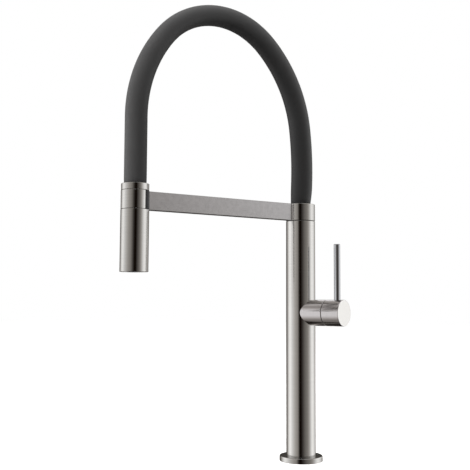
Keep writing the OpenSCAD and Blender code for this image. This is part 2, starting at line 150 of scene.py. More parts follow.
class Nodes:
    """Short way to build one node tree. An argument may be a number, a colour or a socket."""

    def __init__(self, tree):
        tree.nodes.clear()
        self.tree = tree

    def add(self, kind, **values):
        n = self.tree.nodes.new(kind)
        for k, v in values.items():
            setattr(n, k, v)
        return n

    def link(self, a, b):
        self.tree.links.new(a, b)

    def value(self, socket, v):
        """Link a socket to v, or set it to v."""
        if isinstance(v, bpy.types.NodeSocket):
            self.link(v, socket)
        elif isinstance(v, tuple):
            socket.default_value = (*v, 1)
        else:
            socket.default_value = v

    def math(self, op, *args):
        n = self.add("ShaderNodeMath", operation=op)
        for s, v in zip(n.inputs, args):
            self.value(s, v)
        return n.outputs[0]

    def coords(self, scale):
        c = self.add("ShaderNodeTexCoord")
        m = self.add("ShaderNodeMapping")
        m.inputs["Scale"].default_value = scale
        self.link(c.outputs["Object"], m.inputs["Vector"])
        return m.outputs[0]

    def noise(self, scale, detail=3.0, rough=0.5):
        """Noise of a fineness in 1/m, which may differ along X, Y and Z."""
        if not isinstance(scale, tuple):
            scale = (scale, scale, scale)
        n = self.add("ShaderNodeTexNoise")
        n.inputs["Scale"].default_value = 1.0
        n.inputs["Detail"].default_value = detail
        n.inputs["Roughness"].default_value = rough
        self.link(self.coords(scale), n.inputs["Vector"])
        return n.outputs["Fac"]

    def attribute(self, name):
        return self.add("ShaderNodeAttribute", attribute_name=name).outputs["Fac"]

    def mix(self, fac, a, b):
        n = self.add("ShaderNodeMix", data_type="RGBA")
        self.value(n.inputs[0], fac)
        self.value(n.inputs[6], a)
        self.value(n.inputs[7], b)
        return n.outputs[2]

    def span(self, v, lo, hi, a, b, kind="LINEAR"):
        """Value that goes from a to b as v goes from lo to hi."""
        n = self.add("ShaderNodeMapRange", interpolation_type=kind)
        self.value(n.inputs[0], v)
        for i, x in enumerate((lo, hi, a, b)):
            n.inputs[i + 1].default_value = x
        return n.outputs[0]

    def bump(self, height, strength, distance, normal=None):
        n = self.add("ShaderNodeBump")
        n.inputs["Strength"].default_value = strength
        n.inputs["Distance"].default_value = distance
        self.link(height, n.inputs["Height"])
        if normal is not None:
            self.link(normal, n.inputs["Normal"])
        return n.outputs[0]


def shade(tint, factor):
    """Lighter or darker tint."""
    return tuple(min(1.0, v * factor) for v in tint)


def material(name):
    """New material, its node tree and its Principled shader."""
    m = bpy.data.materials.new(name)
    m.use_nodes = True
    k = Nodes(m.node_tree)
    out = k.add("ShaderNodeOutputMaterial")
    p = k.add("ShaderNodeBsdfPrincipled")
    k.link(p.outputs[0], out.inputs[0])
    return m, k, p


def brushed(name, tint, lines, rough, axis=None, wear=1.0):
    """Brushed steel. lines is the brushing's fineness in 1/m along X, Y and Z: high across the
    scratches and low along them. axis is the axis that the scratches go round. wear is the
    strength of the uneven marks."""
    m, k, p = material(name)
    fine = k.noise(lines, 2.0, 0.6)
    wide = k.noise(tuple(v * 0.2 for v in lines), 2.0, 0.5)
    cloud = k.noise(24, 3.0, 0.55)
    marks = k.noise(190, 5.0, 0.62)
    edge = k.attribute("edge")
    colour = k.mix(k.span(fine, 0.3, 0.7, 0.0, 1.0), shade(tint, 0.94), shade(tint, 1.03))
    colour = k.mix(k.span(cloud, 0.38, 0.7, 0.0, 0.18 * wear), colour, shade(tint, 0.84))
    colour = k.mix(k.math("MULTIPLY", edge, k.span(marks, 0.35, 0.6, 0.35, 0.9)), colour,
                   shade(tint, 1.14))
    k.link(colour, p.inputs["Base Color"])
    p.inputs["Metallic"].default_value = 1.0
    r = k.math("ADD", k.span(fine, 0.3, 0.7, rough - 0.03, rough + 0.03),
               k.span(cloud, 0.38, 0.7, -0.01 * wear, 0.025 * wear))
    r = k.math("ADD", r, k.span(marks, 0.62, 0.78, 0.0, 0.05 * wear))
    k.link(k.math("MULTIPLY_ADD", edge, -0.04, r), p.inputs["Roughness"])
    if axis:
        p.inputs["Anisotropic"].default_value = 0.55
        p.inputs["Anisotropic Rotation"].default_value = 0.25
        t = k.add("ShaderNodeTangent", direction_type="RADIAL", axis=axis)
        k.link(t.outputs[0], p.inputs["Tangent"])
    n = k.bump(wide, 0.05 * wear, 0.0003)
    k.link(k.bump(fine, 0.06 * wear, 0.0001, n), p.inputs["Normal"])
    return m


def machined(name, tint, rough):
    """Turned metal with tool marks and light tarnish."""
    m, k, p = material(name)
    turning = k.noise((260, 260, 1900), 3.0, 0.6)
    cloud = k.noise(90, 4.0, 0.6)
    k.link(k.mix(k.span(cloud, 0.35, 0.7, 0.0, 1.0), tint, shade(tint, 0.78)),
           p.inputs["Base Color"])
    p.inputs["Metallic"].default_value = 1.0
    k.link(k.math("ADD", k.span(turning, 0.3, 0.7, rough - 0.06, rough + 0.08),
                  k.span(cloud, 0.4, 0.7, 0.0, 0.08)), p.inputs["Roughness"])
    k.link(k.bump(turning, 0.2, 0.0001), p.inputs["Normal"])
    return m


def moulded(name, tint, rough, depth=0.25, spread=0.2):
    """Moulded plastic, rubber or ceramic with a fine grain and slight colour variation."""
    m, k, p = material(name)
    fine = k.noise(3200, 3.0, 0.6)
    cloud = k.noise(70, 3.0, 0.55)
    edge = k.attribute("edge")
    c = k.mix(k.span(cloud, 0.35, 0.7, 0.0, 1.0), tint, shade(tint, 1 - spread))
    k.link(k.mix(k.math("MULTIPLY", edge, 0.5), c, shade(tint, 1.6)), p.inputs["Base Color"])
    k.link(k.math("ADD", k.span(fine, 0.3, 0.7, rough - 0.06, rough + 0.06),
                  k.span(cloud, 0.4, 0.7, -0.02, 0.05)), p.inputs["Roughness"])
    p.inputs["Specular IOR Level"].default_value = 0.4
    k.link(k.bump(fine, depth, 0.00008), p.inputs["Normal"])
    return m


def hose_rubber(name):
    """Matte black hose skin: fine grain, a hint of the coils below it, painted light on the outside
    of the arch with lighter rubbed patches there, partly wear and partly painted light, painted
    shade on its inside, and painted light on what faces up."""
    m, k, p = material(name)
    grain = k.noise(2600, 3.0, 0.6)
    cloud = k.noise(30, 4.0, 0.6)
    rub_and_painted_light = k.noise((150, 150, 70), 4.0, 0.62)
    # outer side of the arch: the mask for painted light outside and painted shade inside
    outer = k.span(k.attribute("outer"), -0.3, 1.0, 0.0, 1.0, "SMOOTHSTEP")
    pitch = 3.2 * MM
    coils = k.math("SINE", k.math("MULTIPLY", k.attribute("along"), TURN / pitch))
    # painted shade on the inside of the arch and painted light on its outside
    c = k.mix(outer, (0.0095, 0.0095, 0.0098), (0.061, 0.061, 0.062))
    # painted light from above: what faces up is painted lighter
    painted_top_light = k.span(k.attribute("up"), -0.25, 1.25, 0.0, 0.85)
    c = k.mix(painted_top_light, c, (0.088, 0.088, 0.090))
    c = k.mix(k.span(cloud, 0.35, 0.72, 0.0, 0.15), c, (0.030, 0.030, 0.031))
    # lighter rubbed patches, partly wear and partly painted light, only on the lit outside of the arch
    c = k.mix(k.math("MULTIPLY", outer, k.span(rub_and_painted_light, 0.58, 0.78, 0.0, 0.3)), c,
              (0.075, 0.075, 0.077))
    k.link(c, p.inputs["Base Color"])
    k.link(k.math("ADD", k.span(grain, 0.3, 0.7, 0.50, 0.58),
                  k.span(rub_and_painted_light, 0.55, 0.75, 0.0, -0.06)), p.inputs["Roughness"])
    p.inputs["Specular IOR Level"].default_value = 0.32
    p.inputs["Sheen Weight"].default_value = 0.03
    p.inputs["Sheen Roughness"].default_value = 0.5
    n = k.bump(coils, 0.05, 0.0002)
    k.link(k.bump(grain, 0.22, 0.00006, n), p.inputs["Normal"])
    return m


STEEL = (0.70, 0.687, 0.665)
# one steel in copies made lighter or darker as painted light and shade: steel_head, arm_steel and rod_steel
# a little darker, steel_side and steel_face lighter, and the flange's top much darker
MAT = {
    "steel": brushed("steel", STEEL, (30, 30, 3400), 0.13, "Z"),
    # painted shade: the flange's top, a much darker copy of the steel
    "steel_top_painted_shade": brushed("steel_top_painted_shade", shade(STEEL, 0.36), (900, 900, 30), 0.09),
    # painted light: a lighter copy of the steel for the lever's housing and cap
    "steel_side": brushed("steel_side", (0.785, 0.755, 0.76), (3400, 30, 30), 0.14, "X"),
    "steel_head": brushed("steel_head", shade(STEEL, 0.92), (30, 30, 3400), 0.13, "Z"),
    # painted light: the lever's end face, a much lighter copy of the steel
    "steel_face": brushed("steel_face", shade(STEEL, 1.30), (30, 420, 1500), 0.24),
    "arm_steel": brushed("arm_steel", (0.64, 0.635, 0.65), (14, 14, 1500), 0.26, wear=0.35),
    "rod_steel": brushed("rod_steel", (0.60, 0.61, 0.64), (50, 50, 2600), 0.14, "Z"),
    "core_steel": machined("core_steel", (0.46, 0.46, 0.47), 0.3),
    "spring_steel": machined("spring_steel", (0.55, 0.55, 0.56), 0.28),
    "screw_steel": machined("screw_steel", (0.30, 0.30, 0.31), 0.35),
    "brass": machined("brass", (0.72, 0.53, 0.25), 0.26),
    "copper_tube": machined("copper_tube", (0.74, 0.42, 0.27), 0.3),
    "magnet": machined("magnet", (0.58, 0.58, 0.59), 0.22),
    "seal_rubber": moulded("seal_rubber", (0.02, 0.02, 0.021), 0.6),
    "nozzle_rubber": moulded("nozzle_rubber", (0.09, 0.09, 0.094), 0.55),
    "hose_black": hose_rubber("hose_black"),
    "black_plastic": moulded("black_plastic", (0.009, 0.009, 0.0095), 0.46),
    "cartridge_plastic": moulded("cartridge_plastic", (0.25, 0.25, 0.26), 0.45, spread=0.1),
    "valve_plastic": moulded("valve_plastic", (0.05, 0.14, 0.45), 0.4),
    "inner_hose_plastic": moulded("inner_hose_plastic", (0.78, 0.78, 0.76), 0.4, spread=0.06),
    "ceramic": moulded("ceramic", (0.86, 0.85, 0.82), 0.22, depth=0.05, spread=0.05),
}
for item in frame["record"]["subparts"]:
    obj = frame["nodes"][item["node"]]
    obj.data.materials.clear()
    obj.data.materials.append(MAT[item["material_slot"]])

# ---------------------------------------------------------------- mesh helpers

ARC_STEPS = 5      # steps round a rounded corner
HOLD = 0.3         # support points lie at most this share of the straight line from an arc
FACING = 0.9       # a face looks along an axis when its normal has more than this along it
MERGE = 1e-7       # points closer than this are one point


def rounded(points):
    """Closed profile [(r, z, fillet)] with its corners as fine arcs held by support points. Each
    point of the result is (r, z, edge), where edge is 1 on an arc."""
    out = []
    n = len(points)
    for i, (r, z, f) in enumerate(points):
        if f <= 0:
            out.append((r, z, 0.0))
            continue
        p = Vector((r, z))
        a, b = Vector(points[i - 1][:2]), Vector(points[(i + 1) % n][:2])
        u, v = (a - p).normalized(), (b - p).normalized()
        half = u.angle(v) / 2
        d = f / math.tan(half)
        c = p + (u + v).normalized() * (f / math.sin(half))
        s, e = p + u * d, p + v * d
        before = s + u * min(f, (a - s).length * HOLD)
        after = e + v * min(f, (b - e).length * HOLD)
        a0 = math.atan2(s.y - c.y, s.x - c.x)
        a1 = math.atan2(e.y - c.y, e.x - c.x)
        turn = (a1 - a0 + math.pi) % TURN - math.pi
        out.append((*before, 0.0))
        for k in range(ARC_STEPS + 1):
            t = a0 + turn * k / ARC_STEPS
            out.append((c.x + f * math.cos(t), c.y + f * math.sin(t), 1.0))
        out.append((*after, 0.0))
    return out


def skin(rings, close_rings=True):
    """Mesh between rings of (point, edge), each ring closed on itself."""
    bm = bmesh.new()
    edge = bm.verts.layers.float.new("edge")
    rows = []
    for ring in rings:
        row = []
        for p, e in ring:
            v = bm.verts.new(p)
            v[edge] = e
            row.append(v)
        rows.append(row)
    m = len(rows[0])
    for j in range(len(rows) if close_rings else len(rows) - 1):
        a, b = rows[j], rows[(j + 1) % len(rows)]
        for i in range(m):
            k = (i + 1) % m
            bm.faces.new((a[i], a[k], b[k], b[i]))
    return bm, rows


def lathe(profile, steps=192):
    """Closed profile of (r, z, edge) turned about Z. profile may be a function of the angle."""
    rings = []
    for j in range(steps):
        t = TURN * j / steps
        pts = profile(t) if callable(profile) else profile
        rings.append([((r * math.cos(t), r * math.sin(t), z), e) for r, z, e in pts])
    bm, _ = skin(rings)
    bmesh.ops.remove_doubles(bm, verts=bm.verts, dist=MERGE)
    return bm


def sector(points, fillet, a0, a1, steps=120):
    """Closed profile of (r, z, fillet) turned about Z from a0 to a1, with rounded ends."""
    mid_r = (min(p[0] for p in points) + max(p[0] for p in points)) / 2
    mid_z = (min(p[1] for p in points) + max(p[1] for p in points)) / 2
    back = fillet / mid_r

    def ring(angle, inset, edge):
        flat = [(r + inset if r < mid_r else r - inset, z + inset if z < mid_z else z - inset, f)
                for r, z, f in points]
        return [((r * math.cos(angle), r * math.sin(angle), z), max(e, edge))
                for r, z, e in rounded(flat)]

    def end(k):
        """Angle in from the end, inset and edge of ring k of a rounded end."""
        a = k / ARC_STEPS * math.pi / 2
        return back * (1 - math.sin(a)), fillet * (1 - math.cos(a)), float(k > 0)

    ends = [end(k) for k in range(ARC_STEPS + 1)]
    rings = [ring(a0 + turn, inset, edge) for turn, inset, edge in reversed(ends)]
    rings += [ring(a0 + back + (a1 - a0 - 2 * back) * j / steps, 0.0, 0.0)
              for j in range(1, steps)]
    rings += [ring(a1 - turn, inset, edge) for turn, inset, edge in ends]
    bm, rows = skin(rings, close_rings=False)
    bm.faces.new(rows[0])
    bm.faces.new(rows[-1][::-1])
    return bm


def peg(r, length, place):
    """Cylinder along +Z from the origin of place, for cutting a hole."""
    bm = bmesh.new()
    bmesh.ops.create_cone(bm, cap_ends=True, segments=64, radius1=r, radius2=r, depth=length,
                          matrix=place @ Matrix.Translation((0, 0, length / 2)))
    return bm


def new_object(name, bm):
    """Object in the scene from a bmesh, which it frees."""
    mesh = bpy.data.meshes.new(name)
    bm.to_mesh(mesh)
    bm.free()
    ob = bpy.data.objects.new(name, mesh)
    bpy.context.scene.collection.objects.link(ob)
    return ob


def piece(name, bm, body, mats, nodes, place=None, holes=(), angle=35, choose=None):
    """Finished piece: cuts its holes, smooths it, ties it to its body and hides the CAD nodes that
    it stands for. choose gives the place in mats of a face's material."""
    if place is not None:
        bmesh.ops.transform(bm, matrix=place, verts=bm.verts)
    bmesh.ops.recalc_face_normals(bm, faces=bm.faces)
    if choose:
        for f in bm.faces:
            f.material_index = choose(f)
    ob = new_object(name, bm)
    for m in mats:
        ob.data.materials.append(MAT[m])
    if holes:
        cutters = [new_object("cutter", h) for h in holes]
        for c in cutters:
            mod = ob.modifiers.new("hole", "BOOLEAN")
            mod.operation = "DIFFERENCE"
            mod.solver = "EXACT"
            mod.object = c
        view = bpy.context.evaluated_depsgraph_get()
        mesh = bpy.data.meshes.new_from_object(ob.evaluated_get(view))
        ob.modifiers.clear()
        ob.data = mesh
        mesh.name = name
        for c in cutters:
            bpy.data.objects.remove(c)
    ob.data.shade_smooth()
    ob.data.set_sharp_from_angle(angle=math.radians(angle))
    if body:
        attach(ob, body)
    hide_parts(*nodes)
    return ob


# ---------------------------------------------------------------- base

HOUSING_NECK = 14 * MM    # outer radius of the stub that enters the column
HOUSING_IN = 12.4 * MM    # bore of the housing
HOUSING_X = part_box("lever_housing")[0].x
PORT_LOW, PORT_HIGH = LEVER_Z - 16 * MM, LEVER_Z + 16 * MM    # below and above the side hole
WELL_IN = GASKET_R - 4 * MM    # the gasket's groove in the flange: inner radius and depth
WELL_Z = 1.6 * MM

column = rounded([(BORE_R, 0, 0.2 * MM), (COL_R, 0, 0.2 * MM), (COL_R, PORT_LOW, 0),
                  (COL_R, PORT_HIGH, 0), (COL_R, COL_TOP, 0.3 * MM),
                  (BORE_R, COL_TOP, 0.2 * MM), (BORE_R, PORT_HIGH, 0), (BORE_R, PORT_LOW, 0)])
piece("column", lathe(column), "base", ["steel"], ["column_tube"],
      holes=[peg(HOUSING_NECK + 2 * RUN, 20 * MM, ON_LEVER)])

flange = rounded([(COL_R + RUN, 0, 0.2 * MM), (WELL_IN, 0, 0.15 * MM),
                  (WELL_IN, WELL_Z, 0.1 * MM), (GASKET_R, WELL_Z, 0.1 * MM),
                  (GASKET_R, 0, 0.15 * MM), (FLANGE_R, 0, 0.35 * MM),
                  (FLANGE_R, FLANGE_TOP, 0.9 * MM), (COL_R + RUN, FLANGE_TOP, 0.35 * MM)])
# the flange's top takes the much darker copy of the steel, as painted shade
piece("flange", lathe(flange), "base", ["steel_head", "steel_top_painted_shade"], ["base_flange"],
      choose=lambda f: int(f.normal.z > FACING))


def saddle(r, t):
    """Place along the lever's axis where a line at radius r and angle t meets the column."""
    return math.sqrt(COL_R ** 2 - (r * math.sin(t)) ** 2) + TOUCH


def housing(t):
    """Profile of the lever's housing at angle t: its foot follows the column."""
    return rounded([(LEVER_R, saddle(LEVER_R, t), 0.12 * MM), (LEVER_R, SEAM_0, 0.35 * MM),
                    (HOUSING_IN, SEAM_0, 0.3 * MM), (HOUSING_IN, HOUSING_X, 0),
                    (HOUSING_NECK, HOUSING_X, 0), (HOUSING_NECK, saddle(HOUSING_NECK, t), 0)])


piece("housing", lathe(housing), "base", ["steel_side"], ["lever_housing"],
      place=ON_LEVER)

# ---------------------------------------------------------------- lever

CAP_IN = LEVER_R - 2.2 * MM
CAP_FLOOR = 42 * MM                # the cap is hollow up to here along the lever's axis
STEM_BORE = 4.03 * MM              # the bore for the cartridge's stem: radius and end
STEM_END = CAP_FLOOR + 10.5 * MM
ROD_HOLE = Matrix.Translation((ROD_X, 0, ROD_Z - 0.2 * MM))
CAP_SCREW = Matrix.Translation((SCREW_X, 0, LEVER_Z - LEVER_R - 1 * MM))

cap = rounded([(0, STEM_END, 0), (STEM_BORE, STEM_END, 0), (STEM_BORE, CAP_FLOOR, 0),
               (CAP_IN, CAP_FLOOR, 0), (CAP_IN, SEAM_1, 0.25 * MM),
               (LEVER_R, SEAM_1, 0.35 * MM), (LEVER_R, CAP_X, 0.55 * MM), (0, CAP_X, 0)])
piece("cap", lathe(cap), "lever", ["steel_side", "steel_face"], ["lever_cap"],
      place=ON_LEVER, choose=lambda f: int(f.normal.x > FACING),
      holes=[peg(ROD_R + FIT, 20 * MM, ROD_HOLE), peg(SCREW_HOLE, LEVER_R - 2 * MM, CAP_SCREW)])

rod = rounded([(0, ROD_Z, 0), (ROD_R, ROD_Z, 0.3 * MM), (ROD_R, ROD_TOP, 0.7 * MM),
               (0, ROD_TOP, 0)])
piece("rod", lathe(rod, 96), "lever", ["rod_steel"], ["lever_rod"],
      place=Matrix.Translation((ROD_X, 0, 0)))

# ---------------------------------------------------------------- swivel

SPRING_SEAT = 11.5 * MM                # radius of the openings that the spring goes into
COLLAR_IN = 13.2 * MM
COLLAR_LIP = COLLAR_TOP - 4 * MM       # underside of the lip round the spring
BACK_HOLE = SWIVEL @ Matrix.Translation((0, COL_R + 1 * MM, COLLAR_Z + 6 * MM)) \
    @ Matrix.Rotation(math.pi / 2, 4, "X")

collar = rounded([(COLLAR_IN, COLLAR_Z, 0.2 * MM), (COL_R, COLLAR_Z, 0.3 * MM),
                  (COL_R, COLLAR_TOP, 0.6 * MM), (SPRING_SEAT, COLLAR_TOP, 0.3 * MM),
                  (SPRING_SEAT, COLLAR_LIP, 0.2 * MM), (COLLAR_IN, COLLAR_LIP, 0.2 * MM)])
piece("collar", lathe(collar), "swivel", ["steel_head"], ["swivel_collar"], place=SWIVEL,
      holes=[peg(SCREW_HOLE, 8 * MM, BACK_HOLE)])


def arm():
    """Flat bar with rounded edges, hollowed at its ends to sit on the collar and the dock."""
    half, low, high, f = 5 * MM, COLLAR_Z, COLLAR_TOP, 0.45 * MM
    steps, slices = 6, 24
    inset_end, share_end = 0.2 * MM, 0.001    # chamfer of the ends: depth, and share of the length
    upper = [(-half + f - f * math.cos(a), high - f + f * math.sin(a), 1.0)
             for a in (k * math.pi / 2 / steps for k in range(steps + 1))]
    upper += [(-half + f + (half - f) * k / steps, high, 0.0) for k in range(1, steps + 1)]
    upper += [(-x, z, e) for x, z, e in reversed(upper[:-1])]
    loop = upper + [(x, low + high - z, e) for x, z, e in reversed(upper)]

    def ring(share, inset):
        """Section at a share of the way from the collar to the dock."""
        row = []
        for x, z, e in loop:
            x *= 1 - inset / half
            z += inset if z < (low + high) / 2 else -inset
            near = -math.sqrt((COL_R + RUN) ** 2 - x ** 2)
            far = -REACH + math.sqrt((HEAD_R + TOUCH) ** 2 - x ** 2)
            row.append(((x, near + (far - near) * share, z), e))
        return row

    rings = [ring(0, inset_end), ring(share_end, 0)]
    rings += [ring(k / slices, 0) for k in range(1, slices)]
    rings += [ring(1 - share_end, 0), ring(1, inset_end)]
    bm, rows = skin(rings, close_rings=False)
    n = len(upper)
    for row in (rows[0], rows[-1]):
        for i in range(n - 1):
            bm.faces.new((row[i], row[i + 1], row[2 * n - 2 - i], row[2 * n - 1 - i]))
    return bm


piece("arm", arm(), "swivel", ["arm_steel"], ["support_arm"], place=SWIVEL)

PAD_HALF = math.radians(66)            # the pad reaches this far each way round the head
PAD_R = HEAD_R - FIT
PAD_EDGE = 0.4 * MM
PAD_HOLE = AT_HEAD @ Matrix.Translation((0, PAD_IN - 1 * MM, (BAND_Z + BAND_TOP) / 2)) \
    @ Matrix.Rotation(-math.pi / 2, 4, "X")

pad = [(PAD_IN, BAND_Z, PAD_EDGE), (PAD_R, BAND_Z, PAD_EDGE),
       (PAD_R, BAND_TOP, PAD_EDGE), (PAD_IN, BAND_TOP, PAD_EDGE)]
# the wide hole is for the dock screw's head, and the narrow one for its shank
piece("pad", sector(pad, PAD_EDGE, math.pi / 2 - PAD_HALF, math.pi / 2 + PAD_HALF), "swivel",
      ["black_plastic"], ["dock_pad"], place=AT_HEAD,
      holes=[peg(2.9 * MM, 2.3 * MM, PAD_HOLE), peg(1.53 * MM, 6 * MM, PAD_HOLE)])

# ---------------------------------------------------------------- neck and spray head

BAND_HALF = PAD_HALF + math.radians(2)    # the band's opening for the pad, each way
BAND_R = HEAD_R - 0.1 * MM
BAND_EDGE = 0.3 * MM
NECK_LIP = CAP_TOP - 1 * MM               # underside of the neck ring's lip round the spring
SHELL_IN = HEAD_R - 1.6 * MM
SHELL_LID = SHELL_TOP - 2.4 * MM          # underside of the shell's top, which has a hole
SHELL_HOLE = 11 * MM

band = [(CORE_R, BAND_Z, 0.15 * MM), (BAND_R, BAND_Z, BAND_EDGE),
        (BAND_R, BAND_TOP, BAND_EDGE), (CORE_R, BAND_TOP, 0.15 * MM)]
piece("band", sector(band, BAND_EDGE, math.pi / 2 + BAND_HALF, 5 * math.pi / 2 - BAND_HALF, 160),
      "neck", ["steel_head"], ["dock_band"], place=AT_HEAD)

neck_ring = rounded([(CORE_R, CAP_Z, 0.1 * MM), (NECK_R, CAP_Z, 0.3 * MM),
                     (NECK_R, CAP_TOP, 0.5 * MM), (SPRING_SEAT, CAP_TOP, 0.25 * MM),
                     (SPRING_SEAT, NECK_LIP, 0.1 * MM), (CORE_R, NECK_LIP, 0)])
piece("neck_ring", lathe(neck_ring), "neck", ["steel_head"], ["neck_cap"],
      place=AT_HEAD)

shell = rounded([(SHELL_HOLE, SHELL_LID, 0.1 * MM), (SHELL_HOLE, SHELL_TOP, 0.2 * MM),
                 (HEAD_R, SHELL_TOP, 0.3 * MM), (HEAD_R, SHELL_Z, 0.5 * MM),
                 (SHELL_IN, SHELL_Z, 0.4 * MM), (SHELL_IN, SHELL_LID, 0)])
piece("shell", lathe(shell), "head", ["steel_head"], ["head_shell"], place=AT_HEAD)


def add_nozzle(bm, profile, at, sides=20):
    """Add one nozzle at a place: an open profile of (r, z, edge) turned about Z, with its foot
    closed."""
    edge = bm.verts.layers.float["edge"]
    rows = []
    for r, z, e in profile:
        row = []
        for j in range(sides):
            t = TURN * j / sides
            v = bm.verts.new(at + Vector((r * math.cos(t), r * math.sin(t), z)))
            v[edge] = e
            row.append(v)
        rows.append(row)
    for a, b in zip(rows, rows[1:]):
        for j in range(sides):
            i = (j + 1) % sides
            bm.faces.new((a[j], a[i], b[i], b[j]))
    bm.faces.new(rows[0])


def spray():
    """Spray plate with a shallow dished face and rings of soft nozzles."""
    low, high = SHELL_Z + 1.65 * MM, SHELL_Z + 4.2 * MM
    face, rim = low + 0.25 * MM, SHELL_IN - 1.7 * MM
    dish = rounded([(0, face, 0), (rim - 2.0 * MM, face, 0.4 * MM),
                    (rim - 1.4 * MM, low, 0.3 * MM), (rim, low, 0.3 * MM),
                    (rim, high, 0.2 * MM), (0, high, 0)])
    bm = lathe(dish, 128)
    tip, foot = SHELL_Z + 0.6 * MM, low + 0.35 * MM
    nozzle = [(0.95 * MM, foot, 0), (0.85 * MM, tip + 0.3 * MM, 0),
              (0.78 * MM, tip + 0.08 * MM, 1), (0.66 * MM, tip, 1), (0.5 * MM, tip, 1),
              (0.42 * MM, tip + 0.1 * MM, 0), (0.38 * MM, tip + 0.9 * MM, 0),
              (0.0, tip + 0.9 * MM, 0)]
    # radius of each ring of nozzles, and how many it has
    for radius, count in ((0, 1), (4.2 * MM, 6), (8.4 * MM, 12)):
        for k in range(count):
            a = TURN * k / count
            add_nozzle(bm, nozzle, Vector((radius * math.cos(a), radius * math.sin(a), 0)))
    bmesh.ops.remove_doubles(bm, verts=bm.verts, dist=MERGE)
    return bm


piece("spray", spray(), "head", ["nozzle_rubber"], ["spray_plate"],
      place=AT_HEAD)

# ---------------------------------------------------------------- hose

# arcs of the hose from the collar: radius in metres, and turn in degrees
ARCS = [(0.4110, 12.9), (0.1551, 40.7), (0.0932, 92.5), (0.1531, 39.7)]
LEAN = -5.8           # degrees: the hose leaves the collar leaning away from the head
HOSE_STEP = 3.0 * MM


def hose_path(sunk_0, sunk_1, step):
    """Stations (y, z, heading, length) of the hose's centre line, in the swivelling group. The
    ends reach sunk_0 into the collar and sunk_1 into the neck ring. The arcs end above the neck
    with the hose pointing straight down, and what the rounded values miss of the reach is spread
    along the hose."""
    y, z, heading, along = 0.0, COLLAR_TOP, math.radians(LEAN), 0.0
    out = [(y, z, heading, along)]
    for radius, turn in ARCS:
        count = round(radius * math.radians(turn) / step)
        small = math.radians(turn) / count
        chord = 2 * radius * math.sin(small / 2)
        for _ in range(count):
            y -= chord * math.sin(heading + small / 2)
            z += chord * math.cos(heading + small / 2)
            heading += small
            along += radius * small
            out.append((y, z, heading, along))
    count = round((z - CAP_TOP) / step)
    drop = (z - CAP_TOP) / count
    for _ in range(count):
        z -= drop
        along += drop
        out.append((y, z, heading, along))
    miss = y + REACH
    out = [(a - miss * s / along, b, h, s) for a, b, h, s in out]
    if sunk_0:
        out.insert(0, (0.0, COLLAR_TOP - sunk_0, 0.0, -sunk_0))
    if sunk_1:
        out.append((-REACH, CAP_TOP - sunk_1, math.pi, along + sunk_1))
    return out


def hose_skin(sunk_0, sunk_1, outer, inner, around, step=HOSE_STEP):
    """Pipe along the hose; outer and inner are radii as functions of the length. The materials
    read three values at each point: outer is 1 on the outside of the arch and -1 on its inside,
    along is the length from the collar, and up is high where the skin faces up. The hose's
    material paints its light and shade by outer and up."""
    path = hose_path(sunk_0, sunk_1, step)
    total = path[-1][3]
    bm = bmesh.new()
    side = bm.verts.layers.float.new("outer")
    far = bm.verts.layers.float.new("along")
    top = bm.verts.layers.float.new("up")

    def ring(station, r):
        y, z, h, s = station
        row = []
        for k in range(around):
            t = TURN * k / around
            v = bm.verts.new((r * math.sin(t), y + r * math.cos(t) * math.cos(h),
                              z + r * math.cos(t) * math.sin(h)))
            v[side] = math.cos(t)
            v[far] = s
            v[top] = (math.cos(t) + 0.5) * math.sin(h)
            row.append(v)
        return row

    rows = [ring(p, outer(p[3], total)) for p in path]
    rows += [ring(p, inner(p[3], total)) for p in reversed(path)]
    for a, b in zip(rows, rows[1:] + rows[:1]):
        for i in range(around):
            k = (i + 1) % around
            bm.faces.new((a[i], a[k], b[k], b[i]))
    return bm


def ease(x):
    """Smooth step from 0 to 1."""
    x = min(max(x, 0.0), 1.0)
    return x * x * (3 - 2 * x)


def sleeve_r(s, total):
    """Outer radius: drawn in at both ends and in the tight bend, fullest above the collar."""
    body = 12.95 * MM - 0.7 * MM * ease(s / total)
    low = (body - 11.75 * MM) * (1 - ease(s / (22 * MM)) ** 0.5)
    high = 0.35 * MM * (1 - ease((total - s) / (4 * MM)))
    bent = 0.95 * MM * math.exp(-((s / total - 0.60) / 0.13) ** 2)
    return body - low - high - bent


def sleeve_in(s, total):
    """Inner radius of the sleeve: it stays clear of the spring."""
    return max(sleeve_r(s, total) - 1.1 * MM, 11.3 * MM)


def wire(s):
    """Swell of the spring's coils, 3 mm apart."""
    return 0.2 * MM * math.cos(s * TURN / (3 * MM))


# the hose bends between these two points when the head leaves its dock
HOSE_FROM = SWIVEL @ Vector((0, -15 * MM, COLLAR_TOP))
HOSE_TO = SWIVEL @ Vector((0, 15 * MM - REACH, COLLAR_TOP))


def hose_piece(name, bm, slot, node):
    """Finished layer of the hose, which follows both the swivel and the neck."""
    ob = piece(name, bm, None, [slot], [node], place=SWIVEL, angle=60)
    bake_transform(ob, "swivel", "neck", start=tuple(HOSE_FROM), end=tuple(HOSE_TO))


# the inner layers reach further into the collar and the neck than the sleeve does
hose_piece("hose", hose_skin(0, 0, sleeve_r, sleeve_in, 64),
           "hose_black", "hose_sleeve")
hose_piece("spring", hose_skin(3.9 * MM, 4 * MM,
                               lambda s, total: 11.0 * MM + wire(s),
                               lambda s, total: 10.2 * MM - wire(s), 24, 0.75 * MM),
           "spring_steel", "support_spring")
hose_piece("water_hose", hose_skin(5.9 * MM, 14 * MM,
                                   lambda s, total: 5 * MM, lambda s, total: 3.6 * MM, 24),
           "inner_hose_plastic", "inner_hose")

# ---------------------------------------------------------------- floor, lights, surroundings


